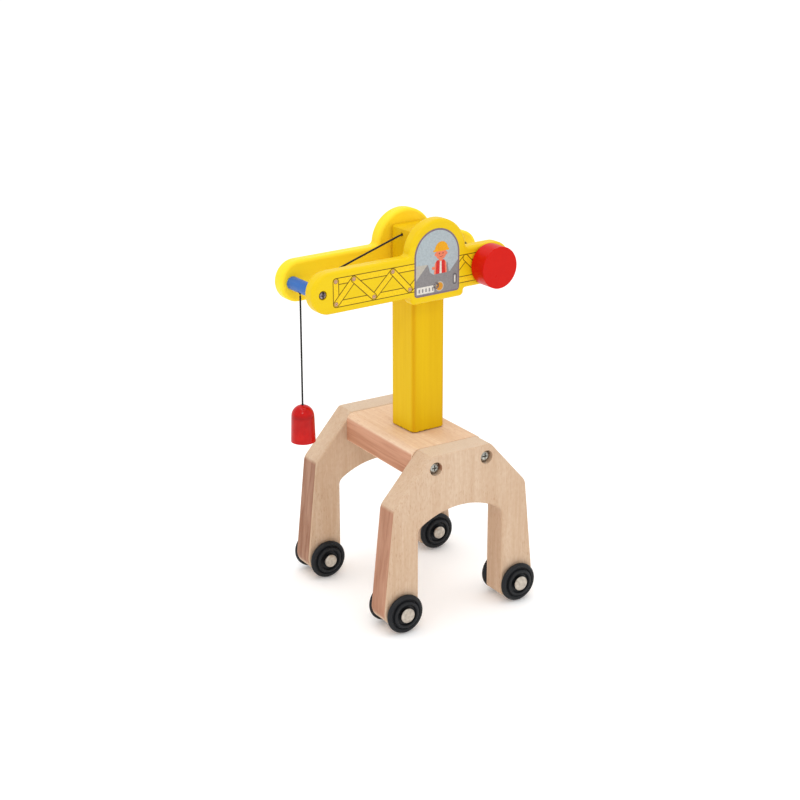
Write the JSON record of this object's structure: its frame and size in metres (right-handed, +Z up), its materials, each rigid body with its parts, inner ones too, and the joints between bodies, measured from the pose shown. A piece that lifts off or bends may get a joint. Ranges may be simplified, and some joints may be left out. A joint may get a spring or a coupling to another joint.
{
  "type": "toy tower crane",
  "caption": "Wooden toy tower crane: wheeled arch gantry, turning post, twin-plate jib with cab, string winch knob and hanging magnet weight.",
  "frame": {"origin": "on the floor under the middle of the crane's bounding box", "axes": "+Z up along the post, the jib's tip points towards -X (turned 3.2 degrees towards -Y at rest), the winding knob is on the -Y side"},
  "size_m": [0.1488, 0.1242, 0.247],
  "materials": {
    "beech": "clear satin lacquer on pale beech",
    "tower_paint": "satin yellow stain on wood",
    "jib_paint": "satin yellow paint on wood",
    "red_paint": "satin red paint on wood",
    "red_gloss": "glossy red plastic",
    "blue_paint": "satin blue paint on a wooden dowel",
    "dowel_wood": "bare wooden dowel",
    "wheel_plastic": "semi-gloss black plastic",
    "steel": "nickel-plated steel",
    "magnet": "nickel-plated magnet",
    "string": "braided black string"
  },
  "bodies": {
    "base": {"side_frame_near": "beech", "side_frame_far": "beech", "deck_block": "beech", "frame_screw_near_front": "steel", "frame_screw_near_rear": "steel", "frame_screw_far_front": "steel", "frame_screw_far_rear": "steel", "axle_pin_near_front": "steel", "axle_pin_near_rear": "steel", "axle_pin_far_front": "steel", "axle_pin_far_rear": "steel", "axle_cap_near_front": "steel", "axle_cap_near_rear": "steel", "axle_cap_far_front": "steel", "axle_cap_far_rear": "steel"},
    "head": {"tower_post": "tower_paint", "pivot_washer": "steel", "pivot_screw": "steel", "jib_plate_near": "jib_paint", "jib_plate_far": "jib_paint", "cab_screw_near": "steel", "cab_screw_far": "steel", "tip_screw_near": "steel", "tip_screw_far": "steel", "tip_dowel": "blue_paint", "jib_string": "string"},
    "winch": {"winch_knob": "red_paint", "winch_axle": "dowel_wood", "winch_drum": "jib_paint", "wound_string": "string"},
    "line": {"hanging_string": "string"},
    "hook": {"weight_shell": "red_gloss", "weight_magnet": "magnet", "string_knot": "string"},
    "wheel_near_front_outer_body": {"wheel_near_front_outer": "wheel_plastic"},
    "wheel_near_front_inner_body": {"wheel_near_front_inner": "wheel_plastic"},
    "wheel_near_rear_outer_body": {"wheel_near_rear_outer": "wheel_plastic"},
    "wheel_near_rear_inner_body": {"wheel_near_rear_inner": "wheel_plastic"},
    "wheel_far_front_outer_body": {"wheel_far_front_outer": "wheel_plastic"},
    "wheel_far_front_inner_body": {"wheel_far_front_inner": "wheel_plastic"},
    "wheel_far_rear_outer_body": {"wheel_far_rear_outer": "wheel_plastic"},
    "wheel_far_rear_inner_body": {"wheel_far_rear_inner": "wheel_plastic"}
  },
  "joints": [
    {"name": "wheel_near_front_outer_spin", "type": "hinge", "parent": "base", "child": "wheel_near_front_outer_body", "pos_m": [-0.026, -0.0582, 0.0125], "axis": [0, 1, 0], "continuous": true},
    {"name": "wheel_near_front_inner_spin", "type": "hinge", "parent": "base", "child": "wheel_near_front_inner_body", "pos_m": [-0.026, -0.036, 0.0125], "axis": [0, 1, 0], "continuous": true},
    {"name": "wheel_near_rear_outer_spin", "type": "hinge", "parent": "base", "child": "wheel_near_rear_outer_body", "pos_m": [0.0588, -0.0582, 0.0125], "axis": [0, 1, 0], "continuous": true},
    {"name": "wheel_near_rear_inner_spin", "type": "hinge", "parent": "base", "child": "wheel_near_rear_inner_body", "pos_m": [0.0588, -0.036, 0.0125], "axis": [0, 1, 0], "continuous": true},
    {"name": "wheel_far_front_outer_spin", "type": "hinge", "parent": "base", "child": "wheel_far_front_outer_body", "pos_m": [-0.026, 0.0582, 0.0125], "axis": [0, 1, 0], "continuous": true},
    {"name": "wheel_far_front_inner_spin", "type": "hinge", "parent": "base", "child": "wheel_far_front_inner_body", "pos_m": [-0.026, 0.036, 0.0125], "axis": [0, 1, 0], "continuous": true},
    {"name": "wheel_far_rear_outer_spin", "type": "hinge", "parent": "base", "child": "wheel_far_rear_outer_body", "pos_m": [0.0588, 0.0582, 0.0125], "axis": [0, 1, 0], "continuous": true},
    {"name": "wheel_far_rear_inner_spin", "type": "hinge", "parent": "base", "child": "wheel_far_rear_inner_body", "pos_m": [0.0588, 0.036, 0.0125], "axis": [0, 1, 0], "continuous": true},
    {"name": "tower_swivel", "type": "hinge", "parent": "base", "child": "head", "pos_m": [0.0181, -0.0032, 0.11], "axis": [0, 0, 1], "continuous": true},
    {"name": "winch_turn", "type": "hinge", "parent": "head", "child": "winch", "pos_m": [0.05504, -0.00113, 0.2137], "axis": [-0.0558, 0.9984, 0], "range_deg": [-926, 505]},
    {"name": "line_swing", "type": "hinge", "parent": "head", "child": "line", "pos_m": [-0.06687, -0.00795, 0.2094], "axis": [-0.0558, 0.9984, 0], "range_deg": [-20, 20]},
    {"name": "hook_slide", "type": "slide", "parent": "line", "child": "hook", "axis": [0, 0, 1], "range_m": [-0.11, 0.06], "deforming": ["hanging_string"]}
  ],
  "couplings": [
    {"joint": "hook_slide", "follows": "winch_turn", "m_per_rad": 0.0068}
  ]
}
